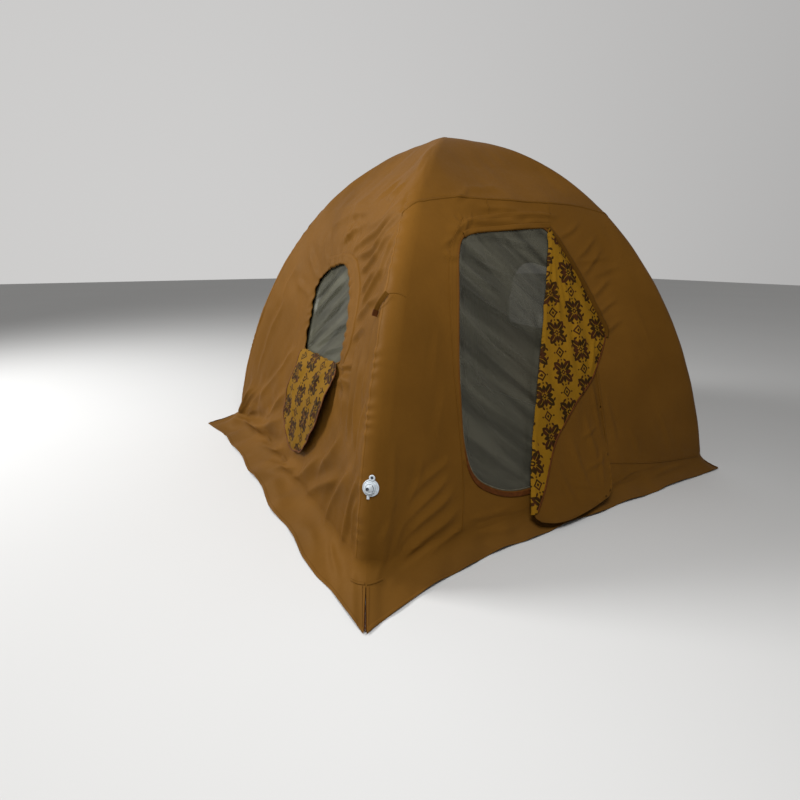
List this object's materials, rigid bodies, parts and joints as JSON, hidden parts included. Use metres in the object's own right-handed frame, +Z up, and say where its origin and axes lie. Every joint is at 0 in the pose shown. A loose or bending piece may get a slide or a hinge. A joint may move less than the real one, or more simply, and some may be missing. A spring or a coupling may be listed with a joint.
{
  "type": "inflatable camping tent",
  "caption": "Square dome tent on crossing inflatable arches, with a hinged insect-screen door, its outer flap folded back, screened windows with hanging covers, a ground skirt and a floor.",
  "frame": {"origin": "centre of the groundsheet's underside, on the ground", "axes": "+Z up, the doorway faces -Y, +X to the right of someone who faces the doorway"},
  "size_m": [3.344, 3.294, 2.345],
  "materials": {
    "tan_fabric": "woven polyester, satin",
    "yellow_lining": "printed cotton blend, matt",
    "grey_screen": "fine insect netting",
    "orange_tape": "woven binding tape",
    "air_tube": "matt inflated tube",
    "groundsheet_fabric": "coated, semi-matt",
    "white_plastic": "satin"
  },
  "bodies": {
    "tent": {"front_wall_left": "tan_fabric", "front_wall_right": "tan_fabric", "front_wall_sill": "tan_fabric", "front_wall_lintel": "tan_fabric", "right_wall_lower": "tan_fabric", "right_wall_upper": "tan_fabric", "back_wall_lower": "tan_fabric", "back_wall_upper": "tan_fabric", "left_wall_lower": "tan_fabric", "left_wall_upper": "tan_fabric", "arch_sleeve_front_left": "tan_fabric", "arch_sleeve_front_right": "tan_fabric", "arch_sleeve_back_right": "tan_fabric", "arch_sleeve_back_left": "tan_fabric", "roof_front": "tan_fabric", "roof_right": "tan_fabric", "roof_back": "tan_fabric", "roof_left": "tan_fabric", "air_leg_front_left": "air_tube", "air_leg_front_right": "air_tube", "air_leg_back_right": "air_tube", "air_leg_back_left": "air_tube", "air_crown": "air_tube", "skirt_front": "tan_fabric", "skirt_right": "tan_fabric", "skirt_back": "tan_fabric", "skirt_left": "tan_fabric", "groundsheet": "groundsheet_fabric", "door_flap_tuck": "yellow_lining", "window_mesh_right": "grey_screen", "window_mesh_back": "grey_screen", "window_mesh_left": "grey_screen", "window_flap_right": "yellow_lining", "window_flap_back": "yellow_lining", "window_flap_left": "yellow_lining", "valve_flange": "white_plastic", "valve_cap": "white_plastic", "strap_loop": "tan_fabric"},
    "door": {"mesh_door": "grey_screen", "door_hem_cord": "orange_tape", "door_flap": "tan_fabric", "door_flap_fold": "yellow_lining"}
  },
  "joints": [
    {"name": "door_swing", "type": "hinge", "parent": "tent", "child": "door", "pos_m": [0.385, -1.36755, 0.25113], "axis": [0.0342, 0.3395, 0.94], "range_deg": [0, 110]}
  ]
}
